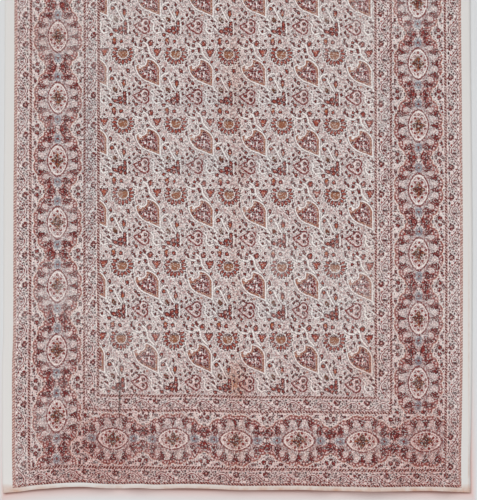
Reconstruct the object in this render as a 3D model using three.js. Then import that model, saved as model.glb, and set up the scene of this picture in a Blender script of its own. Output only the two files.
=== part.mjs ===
// A block-printed cotton hanging, one loom width from selvedge to selvedge, hung by its top edge
// close in front of a wall. It is one piece of cloth with a turned hem along its head and its foot.
//
// Millimetres. +X runs to the right of someone facing the print, +Z is up, and the print faces -Y.
// The origin is the middle of the top edge. A place on the cloth is given by two lengths:
// "across" from the middle of the width, and "up" from the foot along the cloth.
import * as THREE from "three";

const WIDTH = 1220;
const LENGTH = 1812;
const CLOTH = 1.5; // thickness of the single layer
const COTTON = 0xc9b5ae;

// The turned hems: the cloth is folded to its back once, so only the back gets thicker.
const HEM_DEPTH = 13;
const HEM_EXTRA = 1.2;
const HEM_ROUNDING = 2.5;

// The head lies flat, where a batten or clips hold it, and the folds begin under that.
const HEADING = 70;
const HEADING_EASE = 420;

// The waves of the foot, read across the width: how far each place stands forward of the wall
// and how far the edge is drawn up above the lowest corner.
const FOOT_WAVES = [
  { across: -610, forward: 0, rise: 0 },
  { across: -567, forward: 4, rise: 4 },
  { across: -532, forward: 6, rise: 9.5 },
  { across: -496, forward: 9, rise: 13 },
  { across: -448, forward: 10, rise: 17 },
  { across: -402, forward: 11, rise: 18 },
  { across: -355, forward: 12, rise: 15 },
  { across: -308, forward: 5, rise: 12.5 },
  { across: -260, forward: 15, rise: 15.5 },
  { across: -213, forward: 8, rise: 12 },
  { across: -143, forward: 9, rise: 14 },
  { across: -72, forward: 9, rise: 12.5 },
  { across: 0, forward: 11, rise: 9.5 },
  { across: 69, forward: 9, rise: 9 },
  { across: 164, forward: 12, rise: 10 },
  { across: 211, forward: 15, rise: 9 },
  { across: 258, forward: 9, rise: 7 },
  { across: 305, forward: 15, rise: 7 },
  { across: 352, forward: 19, rise: 6.8 },
  { across: 399, forward: 14, rise: 6.5 },
  { across: 446, forward: 11, rise: 6.5 },
  { across: 493, forward: 8, rise: 6.8 },
  { across: 541, forward: 14, rise: 6.5 },
  { across: 577, forward: 5, rise: 3.5 },
  { across: 610, forward: 0, rise: 1 },
];
const WAVE_REACH = 230; // how far up the cloth the waves of the foot die away
const RISE_REACH = 520; // the drawn-up edge bends the printed rows over a longer stretch

// The long soft folds that run up the body of the cloth.
const BODY_FOLDS = [
  { across: -610, forward: 1 },
  { across: -480, forward: 7 },
  { across: -309, forward: 2.5 },
  { across: -150, forward: 8 },
  { across: 0, forward: 3.5 },
  { across: 160, forward: 9 },
  { across: 300, forward: 4 },
  { across: 430, forward: 9 },
  { across: 560, forward: 3 },
  { across: 610, forward: 1 },
];

// The selvedges aren't quite straight: each row says how far they stand out from the true line.
const SELVEDGES = [
  { up: 0, left: 4.5, right: -1 },
  { up: 90, left: 6.5, right: -2 },
  { up: 180, left: 6.5, right: 0 },
  { up: 330, left: 6.5, right: 2.5 },
  { up: 410, left: 3.5, right: 3 },
  { up: 650, left: 2.5, right: 3.5 },
  { up: 800, left: 2, right: 2.5 },
  { up: 1040, left: 0, right: 0 },
  { up: 1280, left: -0.5, right: -2 },
  { up: LENGTH, left: 0, right: -1 },
];

// Each stretch between two rows of FOOT_WAVES is cut in this many columns.
const COLUMNS_PER_WAVE = 2;
// The places up the cloth where the sheet has a row of points. They are closest at the hems.
const HEM_STEPS = [0, 1, HEM_ROUNDING, HEM_DEPTH - 2, HEM_DEPTH];
const FOOT_STEPS = [40, 75, 115, 160, 210, 265, 325];
const BODY_STEP = 82;

// A smooth curve through one column of a table, which starts and ends on the table's own values.
function curve(table, key, value) {
  const last = table.length - 1;
  const slope = (i) => {
    const low = table[Math.max(i - 1, 0)];
    const high = table[Math.min(i + 1, last)];
    return (high[value] - low[value]) / (high[key] - low[key]);
  };
  return (at) => {
    const inside = THREE.MathUtils.clamp(at, table[0][key], table[last][key]);
    const next = Math.max(1, table.findIndex((row) => row[key] >= inside));
    const [low, high] = [table[next - 1], table[next]];
    const span = high[key] - low[key];
    const t = (inside - low[key]) / span;
    const ease = t * t * (3 - 2 * t);
    const swing = t * (1 - t) * span * (slope(next - 1) * (1 - t) - slope(next) * t);
    return THREE.MathUtils.lerp(low[value], high[value], ease) + swing;
  };
}

const footForward = curve(FOOT_WAVES, "across", "forward");
const footRise = curve(FOOT_WAVES, "across", "rise");
const bodyForward = curve(BODY_FOLDS, "across", "forward");
const selvedge = {
  left: curve(SELVEDGES, "up", "left"),
  right: curve(SELVEDGES, "up", "right"),
};

// How far the cloth stands forward of the wall.
function forward(across, up) {
  const foot = Math.exp(-Math.pow(Math.max(up, 0) / WAVE_REACH, 1.4));
  const hung = THREE.MathUtils.smoothstep(LENGTH - HEADING - up, 0, HEADING_EASE);
  return THREE.MathUtils.lerp(bodyForward(across) * hung, footForward(across), foot);
}

// The middle of the cloth's thickness at a place on it.
function middle(across, up) {
  const share = (2 * across) / WIDTH;
  const drift = share < 0 ? -selvedge.left(up) : selvedge.right(up);
  const rise = footRise(across) * Math.exp(-Math.pow(up / RISE_REACH, 2));
  return new THREE.Vector3(
    across + Math.abs(share) * drift,
    -forward(across, up),
    up - LENGTH + rise,
  );
}

// The direction that the print faces there.
function facing(across, up) {
  const reach = 0.5;
  const sideways = middle(across + reach, up).sub(middle(across - reach, up));
  const upwards = middle(across, up + reach).sub(middle(across, up - reach));
  return sideways.cross(upwards).normalize();
}

// How much thicker the turned hems make the back.
function hemExtra(up) {
  const fromEdge = Math.min(up, LENGTH - up);
  if (fromEdge >= HEM_DEPTH) return 0;
  return HEM_EXTRA * Math.min(1, fromEdge / HEM_ROUNDING, (HEM_DEPTH - fromEdge) / 2);
}

function columns() {
  const places = [FOOT_WAVES[0].across];
  for (let i = 1; i < FOOT_WAVES.length; i++)
    for (let step = 1; step <= COLUMNS_PER_WAVE; step++) {
      const share = step / COLUMNS_PER_WAVE;
      const place = THREE.MathUtils.lerp(FOOT_WAVES[i - 1].across, FOOT_WAVES[i].across, share);
      places.push(place);
    }
  return places;
}

function rows() {
  const places = [...HEM_STEPS, ...FOOT_STEPS];
  const start = places[places.length - 1];
  const end = LENGTH - HEADING;
  const count = Math.round((end - start) / BODY_STEP);
  for (let i = 1; i <= count; i++) places.push(THREE.MathUtils.lerp(start, end, i / count));
  for (const step of [...HEM_STEPS].reverse()) places.push(LENGTH - step);
  return places;
}

// The sheet as one closed skin: a front, a back, and the strip that joins them round the edge.
function sheet() {
  const acrossPlaces = columns();
  const upPlaces = rows();
  const wide = acrossPlaces.length;
  const high = upPlaces.length;
  const points = [];
  for (const side of ["front", "back"])
    for (const up of upPlaces)
      for (const across of acrossPlaces) {
        const offset = side === "front" ? CLOTH / 2 : -(CLOTH / 2 + hemExtra(up));
        points.push(middle(across, up).addScaledVector(facing(across, up), offset));
      }
  const front = ([column, row]) => row * wide + column;
  const back = (corner) => wide * high + front(corner);
  const faces = [];
  const quad = (a, b, c, d) => faces.push(a, b, c, a, c, d);
  for (let row = 0; row < high - 1; row++)
    for (let column = 0; column < wide - 1; column++) {
      const corners = [
        [column, row],
        [column + 1, row],
        [column + 1, row + 1],
        [column, row + 1],
      ];
      quad(...corners.map(front));
      quad(...corners.reverse().map(back));
    }
  const edge = [];
  for (let column = 0; column < wide; column++) edge.push([column, 0]);
  for (let row = 1; row < high; row++) edge.push([wide - 1, row]);
  for (let column = wide - 2; column >= 0; column--) edge.push([column, high - 1]);
  for (let row = high - 2; row > 0; row--) edge.push([0, row]);
  edge.forEach((corner, i) => {
    const next = edge[(i + 1) % edge.length];
    quad(front(next), front(corner), back(corner), back(next));
  });
  const geometry = new THREE.BufferGeometry().setFromPoints(points);
  geometry.setIndex(faces);
  geometry.computeVertexNormals();
  return geometry;
}

const cotton = new THREE.MeshStandardMaterial({
  color: COTTON,
  roughness: 0.9,
  metalness: 0,
});
const cloth = new THREE.Mesh(sheet(), cotton);
cloth.name = "printed_cloth";

const panel = new THREE.Group();
panel.add(cloth);

export default panel;
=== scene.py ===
# A kalamkari hanging: one loom width of block-printed cotton, held along its head close to a wall.
# The cloth is one sheet with a turned hem at its head and foot. Its print is laid band by band
# from the selvedges in to the field. Each block is charted in small units of its own,
# and the printed materials repeat it over the cloth.
import math
from collections import namedtuple
from functools import reduce
from operator import add

import bpy
import numpy as np
from mathutils import Color, Matrix, Vector, noise


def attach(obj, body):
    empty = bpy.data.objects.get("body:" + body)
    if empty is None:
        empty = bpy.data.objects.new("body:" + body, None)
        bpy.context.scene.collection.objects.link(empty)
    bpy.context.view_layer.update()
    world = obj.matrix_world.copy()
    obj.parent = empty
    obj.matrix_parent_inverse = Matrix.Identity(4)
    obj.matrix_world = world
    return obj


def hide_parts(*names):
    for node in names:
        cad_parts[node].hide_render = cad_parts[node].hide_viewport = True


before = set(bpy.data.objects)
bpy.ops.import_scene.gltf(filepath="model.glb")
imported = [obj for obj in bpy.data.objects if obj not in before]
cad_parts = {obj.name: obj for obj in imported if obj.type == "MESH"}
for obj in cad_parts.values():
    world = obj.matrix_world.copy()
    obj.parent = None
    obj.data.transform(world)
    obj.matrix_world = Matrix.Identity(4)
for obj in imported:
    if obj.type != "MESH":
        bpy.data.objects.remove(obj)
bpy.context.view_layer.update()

MM = 0.001

# The cloth. Lengths on it are in millimetres: "across" from the middle of its width, "up" from
# its foot, "forward" of the wall.
WIDTH = 1220
LENGTH = 1812
CLOTH = 0.7
STEP = 8
HEM_DEPTH = 13
HEM_EXTRA = 1.2
HEM_ROUNDING = 1.6
HEM_LINES = [0, 0.35, 0.9, HEM_ROUNDING, HEM_DEPTH - 1, HEM_DEPTH]
EDGE_LEFT = 0.2  # share of the thickness that is left at the very edge
# The head lies flat where it is held. The waves of the foot die away up the cloth.
HEADING = 70
HEADING_EASE = 420
WAVE_REACH = 230
WAVE_FALL = 1.4
RISE_REACH = 520
DRIFT_FALL = 3

Wave = namedtuple("Wave", "across forward rise")
FOOT_WAVES = [
    Wave(-610, 0, 0),
    Wave(-567, 4, 4),
    Wave(-532, 6, 9.5),
    Wave(-496, 9, 13),
    Wave(-448, 10, 17),
    Wave(-402, 11, 18),
    Wave(-355, 12, 15),
    Wave(-308, 5, 12.5),
    Wave(-260, 15, 15.5),
    Wave(-213, 8, 12),
    Wave(-143, 9, 14),
    Wave(-72, 9, 12.5),
    Wave(0, 11, 9.5),
    Wave(69, 9, 9),
    Wave(164, 12, 10),
    Wave(211, 15, 9),
    Wave(258, 9, 7),
    Wave(305, 15, 7),
    Wave(352, 19, 6.8),
    Wave(399, 14, 6.5),
    Wave(446, 11, 6.5),
    Wave(493, 8, 6.8),
    Wave(541, 14, 6.5),
    Wave(577, 5, 3.5),
    Wave(610, 0, 1),
]

Fold = namedtuple("Fold", "across forward")
BODY_FOLDS = [
    Fold(-610, 1),
    Fold(-480, 7),
    Fold(-309, 2.5),
    Fold(-150, 8),
    Fold(0, 3.5),
    Fold(160, 9),
    Fold(300, 4),
    Fold(430, 9),
    Fold(560, 3),
    Fold(610, 1),
]

# How far each selvedge stands out from the true line.
Drift = namedtuple("Drift", "up left right")
SELVEDGES = [
    Drift(0, 4.5, -1),
    Drift(90, 6.5, -2),
    Drift(180, 6.5, 0),
    Drift(330, 6.5, 2.5),
    Drift(410, 3.5, 3),
    Drift(650, 2.5, 3.5),
    Drift(800, 2, 2.5),
    Drift(1040, 0, 0),
    Drift(1280, -0.5, -2),
    Drift(LENGTH, 0, -1),
]

# Pressed-in creases, each a soft trough that runs up the cloth. A minus depth stands proud.
Crease = namedtuple("Crease", "across foot head depth wide lean")
CREASES = [
    Crease(-309, 20, 330, 2.6, 5, 0.01),
    Crease(-5, 0, 1700, -0.8, 3.5, 0),
    Crease(352, 30, 420, -1.6, 9, -0.02),
    Crease(-478, 60, 900, 0.9, 7, 0.01),
    Crease(176, 120, 980, 0.8, 8, -0.02),
    Crease(-150, 420, 1500, -0.7, 9, 0.015),
    Crease(505, 200, 1100, 0.8, 7, 0.01),
    Crease(401, -60, 100, -1.4, 7, 0.1),
    Crease(466, -60, 92, 1.2, 7, -0.1),
]
CREASE_FADE = 70
# The small unevenness that washing and hanging leave: its depth, and its pace across and up.
PUCKER = 0.5
PUCKER_ACROSS = 0.018
PUCKER_UP = 0.0108
PUCKER_LAYER = 3.7

# The bands of the print, from the edge in, and how wide each one is at the sides and the foot.
# The head is taken as the foot turned half round.
Band = namedtuple("Band", "print left right foot")
BANDS = [
    Band("plain", 25.9, 24.6, 11.2),
    Band("rope", 8.2, 7.3, 6.6),
    Band("guard", 32.3, 32.6, 32.7),
    Band("rope", 6.8, 6.5, 7.4),
    Band("medallions", 134.2, 136.4, 144),
    Band("rope", 6, 6.4, 7),
    Band("guard", 29.6, 33.4, 31.7),
    Band("rope", 6.8, 6, 6.7),
]
PRINTS = ["plain", "rope", "guard", "medallions", "field"]

# Where the blocks were set down. Field blocks go by the tip of their paisley, the border's blocks
# by the middle of their medallion, and the guards' by the middle of their small paisley.
FIELD_WIDTH = 708
FIELD_COLUMN = 138.1
FIELD_TIP_ACROSS = 348.5
FIELD_ROWS = [-85, 106, 299, 494.5, 683.5, 873.5, 1054, 1238, 1423, 1610]
FIELD_ROW_SLOPE = -0.007
FIELD_SLOPE_REACH = 700
# How far each height of the field was set down to the right of its true place, at its two sides.
FIELD_SLIPS = [
    Drift(106, -0.5, 0),
    Drift(310, -5.5, 0),
    Drift(495, -2.5, 0.8),
    Drift(684, 0, 2.5),
    Drift(876, 0, 3),
    Drift(1056, 0, 1),
    Drift(1239, 1.5, -0.5),
]
MEDALLIONS = {
    "left": [16, 190.5, 364, 536, 704, 868.5, 1031.5, 1193, 1356, 1519, 1682, 1845],
    "right": [-58, 111, 283, 454, 624, 792.5, 959.5, 1122.5, 1279, 1441, 1604, 1767, 1930],
    "foot": [-646, -483, -325, -168.5, -5.5, 159.5, 324, 491, 658],
}
MEDALLIONS["head"] = [-place for place in reversed(MEDALLIONS["foot"])]
GUARD_PITCH = 78.6
OUTER_GUARD_START = {"left": 735, "right": 737, "foot": -511, "head": 511}
INNER_GUARD_START = {"left": 367, "right": 352, "foot": -248, "head": 248}
ROPE_PITCH = 7.4
OUTER_GUARD = 2
ROPES_LINED_INSIDE = (1, 5)
# The blocks' charts. Each counts right and down in its own units from the block's corner.
FIELD_CHART = (100, 133)
FIELD_TIP = (97, 93.5)
BORDER_CHART = (100, 122.8)
GUARD_CHART = (24, 62.7)
GUARD_MIDDLE = 21

# The flat map for baking: the corner and the size of its front and its back, and its rim's width.
BAKE_FRONT = ((0.005, 0.005), (0.6, 0.99))
BAKE_BACK = ((0.62, 0.005), (0.37, 0.61))
BAKE_RIM = 0.004
GHOST = 0.45  # how much of the print shows at the back


def curve(rows, place, value):
    """A smooth curve through one column of a table."""
    places = np.array([getattr(row, place) for row in rows], float)
    values = np.array([getattr(row, value) for row in rows], float)
    low = np.maximum(np.arange(len(rows)) - 1, 0)
    high = np.minimum(np.arange(len(rows)) + 1, len(rows) - 1)
    slopes = (values[high] - values[low]) / (places[high] - places[low])

    def read(at):
        at = np.clip(at, places[0], places[-1])
        after = np.clip(np.searchsorted(places, at), 1, len(rows) - 1)
        before = after - 1
        span = places[after] - places[before]
        t = (at - places[before]) / span
        ease = t * t * (3 - 2 * t)
        swing = t * (1 - t) * span * (slopes[before] * (1 - t) - slopes[after] * t)
        return values[before] + (values[after] - values[before]) * ease + swing

    return read


foot_forward = curve(FOOT_WAVES, "across", "forward")
foot_rise = curve(FOOT_WAVES, "across", "rise")
body_forward = curve(BODY_FOLDS, "across", "forward")
left_drift = curve(SELVEDGES, "up", "left")
right_drift = curve(SELVEDGES, "up", "right")
left_slip = curve(FIELD_SLIPS, "up", "left")
right_slip = curve(FIELD_SLIPS, "up", "right")


def smooth(share):
    share = np.clip(share, 0, 1)
    return share * share * (3 - 2 * share)


def creasing(across, up):
    """How far the creases stand the cloth forward, which is a minus in their troughs."""
    total = np.zeros_like(across)
    for crease in CREASES:
        line = crease.across + crease.lean * (up - crease.foot)
        reach = smooth((up - crease.foot) / CREASE_FADE + 1) * smooth((crease.head - up) / CREASE_FADE)
        total -= crease.depth * reach * np.exp(-(((across - line) / crease.wide) ** 2))
    return total


def puckers(across, up):
    """How far the puckers stand the cloth forward."""
    spots = zip(across.ravel() * PUCKER_ACROSS, up.ravel() * PUCKER_UP)
    heights = [noise.noise(Vector((a, u, PUCKER_LAYER))) for a, u in spots]
    return PUCKER * np.array(heights).reshape(across.shape)


def middle(across, up, details):
    """The middle of the cloth's thickness, in millimetres from the middle of its top edge."""
    share = 2 * across / WIDTH
    drift = np.where(share < 0, -left_drift(up), right_drift(up))
    rise = foot_rise(across) * np.exp(-((up / RISE_REACH) ** 2))
    foot = np.exp(-((np.maximum(up, 0) / WAVE_REACH) ** WAVE_FALL))
    hung = smooth((LENGTH - HEADING - up) / HEADING_EASE)
    forward = body_forward(across) * hung
    forward = forward + (foot_forward(across) - forward) * foot + details
    return np.stack([across + np.abs(share) ** DRIFT_FALL * drift, -forward, up - LENGTH + rise], -1)


def band_lines(start, near, far, whole):
    """The lines between the bands, from one edge of the cloth to the other."""
    return np.concatenate([start + np.cumsum([0, *near]), start + whole - np.cumsum([0, *far])[::-1]])


def steps(lines):
    """Places on the lines and between them, nowhere more than a step apart."""
    places = [lines[0]]
    for low, high in zip(lines, lines[1:]):
        count = math.ceil((high - low) / STEP)
        places += [low + (high - low) * (i + 1) / count for i in range(count)]
    return np.array(places)


LINES_ACROSS = band_lines(-WIDTH / 2, [b.left for b in BANDS], [b.right for b in BANDS], WIDTH)
LINES_UP = band_lines(0, [b.foot for b in BANDS], [b.foot for b in BANDS], LENGTH)


def hem_shape(up):
    """How far the front and the back stand from the middle, with round edges at head and foot."""
    from_edge = np.minimum(up, LENGTH - up)
    turned = np.clip(np.minimum(from_edge / HEM_ROUNDING, HEM_DEPTH - from_edge), 0, 1)
    short = 1 - np.clip(from_edge / HEM_ROUNDING, 0, 1)
    round_off = np.sqrt(1 - (1 - EDGE_LEFT**2) * short**2)
    return CLOTH / 2 * round_off, CLOTH / 2 * round_off + HEM_EXTRA * turned


def skins(across, up):
    """The points of the cloth's front and back."""
    details = creasing(across, up) + puckers(across, up)
    details *= smooth((LENGTH - up) / HEADING)
    points = middle(across, up, details)
    along_row = np.gradient(points, axis=1)
    up_column = np.gradient(points, axis=0)
    facing = np.cross(along_row, up_column)
    facing /= np.linalg.norm(facing, axis=-1, keepdims=True)
    front, back = hem_shape(up)
    return points + facing * front[..., None], points - facing * back[..., None]


def whose(column, row):
    """The print of a piece of the cloth between the band lines, and the side that its run follows."""
    last = len(LINES_ACROSS) - 2
    in_across = min(column, last - column)
    in_up = min(row, last - row)
    depth = min(in_across, in_up)
    if depth == len(BANDS):
        return "field", "field", depth
    left = column < len(BANDS)
    foot = row < len(BANDS)
    at_side = in_across < in_up or (in_across == in_up and left == foot)
    side = ("left" if left else "right") if at_side else ("foot" if foot else "head")
    return BANDS[depth].print, side, depth


def counted(places, at):
    """How many of the places lie before this one, with the share of the way to the next."""
    return np.interp(at, places, np.arange(len(places)))


def print_place(kind, side, depth, column, row, across, up):
    """Where a point lies on its block: the share of the band crossed from outside, and the run."""
    if kind == "field":
        width, height = FIELD_CHART
        slip = left_slip(up) + (right_slip(up) - left_slip(up)) * (across / FIELD_WIDTH + 0.5)
        right = (across - slip - FIELD_TIP_ACROSS) / FIELD_COLUMN + FIELD_TIP[0] / width
        level = up - FIELD_ROW_SLOPE * across * smooth(up / FIELD_SLOPE_REACH)
        return right, FIELD_TIP[1] / height - counted(FIELD_ROWS, level)
    if side in ("left", "right"):
        low, high, at, run = LINES_ACROSS[column], LINES_ACROSS[column + 1], across, up
    else:
        low, high, at, run = LINES_UP[row], LINES_UP[row + 1], up, across
    inward = (at - low) / (high - low)
    if side in ("right", "head"):
        inward = 1 - inward
    turn = -1 if side in ("left", "head") else 1
    if kind == "medallions":
        return inward, turn * counted(MEDALLIONS[side], run) + 0.5
    if kind == "guard":
        start = OUTER_GUARD_START if depth == OUTER_GUARD else INNER_GUARD_START
        return inward, turn * (run - start[side]) / GUARD_PITCH + GUARD_MIDDLE / GUARD_CHART[1]
    return (inward if depth in ROPES_LINED_INSIDE else 1 - inward), turn * run / ROPE_PITCH


def skin_faces(wide, high):
    """The faces of one side of the sheet, and those of the rim that joins its two sides."""
    index = np.arange(wide * high).reshape(high, wide)
    quads = np.stack([index[:-1, :-1], index[:-1, 1:], index[1:, 1:], index[1:, :-1]], -1)
    ring = np.concatenate([index[0, :], index[1:, -1], index[-1, -2::-1], index[-2:0:-1, 0]])
    beyond = np.roll(ring, -1)
    rim = np.stack([beyond, ring, ring + index.size, beyond + index.size], -1)
    return quads.reshape(-1, 4), rim


def cloth_sheet():
    """The whole cloth as one closed skin with its print laid out on it."""
    lines_up = sorted({*LINES_UP, *HEM_LINES, *(LENGTH - line for line in HEM_LINES)})
    places_across, places_up = steps(LINES_ACROSS), steps(lines_up)
    across, up = np.meshgrid(places_across, places_up)
    front, back = skins(across, up)
    quads, rim = skin_faces(len(places_across), len(places_up))
    faces = np.concatenate([quads, quads[:, ::-1] + across.size, rim])

    mesh = bpy.data.meshes.new("printed_cotton_sheet")
    points = np.concatenate([front.reshape(-1, 3), back.reshape(-1, 3)]) * MM
    mesh.from_pydata(points, [], faces.tolist())
    at = np.stack([across.ravel(), up.ravel()], -1)
    lay_print(mesh, quads, at)
    lay_bake_map(mesh, quads, rim, at)
    mark_back(mesh, len(quads), len(rim))
    for face in mesh.polygons:
        face.use_smooth = True
    return mesh


def lay_print(mesh, quads, at):
    """Gives each face its print, and each of its corners a place on that print's block."""
    corners = at[quads]
    middles = corners.mean(axis=1)
    columns = np.searchsorted(LINES_ACROSS, middles[:, 0]) - 1
    rows = np.searchsorted(LINES_UP, middles[:, 1]) - 1
    prints = np.zeros(len(quads), np.int32)
    places = np.zeros((len(quads), 4, 2))
    for column, row in {*zip(columns.tolist(), rows.tolist())}:
        kind, side, depth = whose(column, row)
        chosen = (columns == column) & (rows == row)
        across, up = corners[chosen, :, 0], corners[chosen, :, 1]
        prints[chosen] = PRINTS.index(kind)
        spot = print_place(kind, side, depth, column, row, across, up)
        places[chosen] = np.stack(spot, -1)
    rim_count = len(mesh.polygons) - 2 * len(quads)
    kinds = np.concatenate([prints, prints, np.zeros(rim_count, np.int32)])
    mesh.polygons.foreach_set("material_index", kinds)
    all_places = np.concatenate([places, places[:, ::-1], np.zeros((rim_count, 4, 2))])
    layer = mesh.uv_layers.new(name="Print")
    layer.uv.foreach_set("vector", all_places.astype(np.float32).ravel())


def lay_bake_map(mesh, quads, rim, at):
    """A flat map of the whole cloth: its front large, its back smaller beside it."""
    share = at / (WIDTH, LENGTH) + (0.5, 0)
    front, back = [share * size + corner for corner, size in (BAKE_FRONT, BAKE_BACK)]
    lip = (share - 0.5) * BAKE_RIM
    everywhere = np.concatenate([front, front + lip])
    faces = np.concatenate([front[quads], back[quads[:, ::-1]], everywhere[rim]])
    layer = mesh.uv_layers.new(name="OFBake")
    layer.uv.foreach_set("vector", faces.astype(np.float32).ravel())


def mark_back(mesh, side_faces, rim_faces):
    """Marks how much of the print shows: all of it in front, and a paler ghost at the back."""
    shown = np.concatenate([np.ones(side_faces), np.full(side_faces, GHOST), np.ones(rim_faces)])
    marks = mesh.attributes.new("print_shows", "FLOAT", "FACE")
    marks.data.foreach_set("value", shown.astype(np.float32))


def light_of(red, green, blue):
    """A colour on the usual scale of 0 to 255, as a shader wants it."""
    colour = Color((red / 255, green / 255, blue / 255)).from_srgb_to_scene_linear()
    return (*colour, 1.0)


COTTON = light_of(217, 214, 211)
RESIST = light_of(236, 230, 226)
BARE = light_of(247, 243, 240)
GROUND = light_of(222, 206, 202)
INK_GREY = light_of(74, 76, 80)
INK_ROSE = light_of(136, 46, 46)
SLATE = light_of(150, 150, 154)
MAUVE = light_of(190, 162, 162)
BLUE_GREY = light_of(132, 146, 160)
MADDER = light_of(112, 26, 24)
RED = light_of(158, 50, 38)
SALMON = light_of(198, 104, 82)
TAN = light_of(172, 98, 58)
BROWN = light_of(150, 90, 56)
OLIVE = light_of(84, 66, 36)
MAROON = light_of(56, 8, 14)
ROPE_RED = light_of(94, 18, 20)
ROPE_GAP = light_of(235, 201, 188)
BRICK = light_of(168, 96, 88)
# What has come over the print with the years, and last the painted shade for a crease.
STAIN = light_of(222, 158, 116)
SHADE = light_of(214, 166, 158)
COOL = light_of(184, 202, 212)
PAINTED_CREASE_SHADE = light_of(120, 100, 94)


class Wire:
    """A socket of a material. Sums that are written on it add Math nodes."""

    def __init__(self, dye, socket):
        self.dye = dye
        self.socket = socket

    def sum(self, operation, *values, **settings):
        return self.dye.node("ShaderNodeMath", values, operation=operation, **settings)

    def __add__(self, other):
        return self.sum("ADD", self, other)

    __radd__ = __add__

    def __sub__(self, other):
        return self.sum("SUBTRACT", self, other)

    def __rsub__(self, other):
        return self.sum("SUBTRACT", other, self)

    def __mul__(self, other):
        return self.sum("MULTIPLY", self, other)

    __rmul__ = __mul__

    def __abs__(self):
        return self.sum("ABSOLUTE", self)

    def least(self, other):
        return self.sum("MINIMUM", self, other)

    def most(self, other):
        return self.sum("MAXIMUM", self, other)

    def held(self):
        """The value, kept between 0 and 1."""
        return self.sum("ADD", self, 0.0, use_clamp=True)

    def fract(self):
        return self.sum("FRACT", self)

    def over(self, edge):
        """1 where the value is over the edge, with no soft step."""
        return self.sum("GREATER_THAN", self, edge)

    def below(self, edge, soft=0.35):
        """1 where the value is under the edge and 0 where it is over it."""
        return self.sum("MULTIPLY_ADD", self, -0.5 / soft, 0.5 + edge * 0.5 / soft, use_clamp=True)

    def line(self, at, half_width, soft=0.35):
        """1 on a line where the value is near this one."""
        return abs(self - at).below(half_width, soft)


def least_of(distances):
    """The least of several distances, each taken in as it comes."""
    return reduce(Wire.least, distances)


# The sockets of a Mix node that mixes colours.
MIX_SHARE = 0
MIX_UNDER = 6
MIX_OVER = 7
MIX_COLOUR = 2


class Dye:
    """The nodes of one material."""

    def __init__(self, name):
        self.material = bpy.data.materials.new(name)
        self.material.use_nodes = True
        self.nodes = self.material.node_tree.nodes
        self.links = self.material.node_tree.links
        self.nodes.clear()

    def node(self, kind, values=(), output=0, **settings):
        """Adds a node: its settings first, then the values or wires of its sockets."""
        node = self.nodes.new(kind)
        for name, setting in settings.items():
            setattr(node, name, setting)
        pairs = values.items() if isinstance(values, dict) else enumerate(values)
        for key, value in pairs:
            if isinstance(value, Wire):
                self.links.new(value.socket, node.inputs[key])
            else:
                node.inputs[key].default_value = value
        return Wire(self, node.outputs[output]) if node.outputs else None

    def vector(self, operation, *values):
        """A Vector Math node. Distances, lengths and dot products come out as a number."""
        output = "Value" if operation in ("DISTANCE", "LENGTH", "DOT_PRODUCT") else "Vector"
        return self.node("ShaderNodeVectorMath", values, output=output, operation=operation)

    def lay(self, amount, colour, ink, blend="MIX"):
        """The colour, with the ink over it as far as the amount says."""
        values = {MIX_SHARE: amount, MIX_UNDER: colour, MIX_OVER: ink}
        return self.node("ShaderNodeMix", values, MIX_COLOUR, data_type="RGBA", blend_type=blend)

    def parts(self, vector):
        """The three numbers of a vector."""
        split = self.node("ShaderNodeSeparateXYZ", [vector])
        return [Wire(self, part) for part in split.socket.node.outputs]

    def on_object(self):
        """The place on the object, in metres."""
        return self.node("ShaderNodeTexCoord", output="Object")

    def cloudy(self, vector, scale, detail=2.0, output=0, **values):
        """A noise texture, as one number or as its colour."""
        values = {"Vector": vector, "Scale": scale, "Detail": detail, **values}
        return self.node("ShaderNodeTexNoise", values, output=output)

    def shaken(self, colour, size):
        """A random colour made into a small shift either way along the chart."""
        return self.vector("MULTIPLY_ADD", colour, (size, size, 0), (-size / 2, -size / 2, 0))

    def circle(self, place, x, y, radius):
        """How far a place lies outside a circle."""
        return self.vector("DISTANCE", place, (x, y, 0)) - radius


# How fine the wandering of a block's lines is, in swings a block, and how fine the cotton's grain
# in its motifs, in grains a unit of the chart.
SWAY_SCALE = 12.0
GRAIN_SCALE = 0.42
SPOT_MARGIN = 3  # what a spot's outline and resist take beyond its size, in the chart's units


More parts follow.
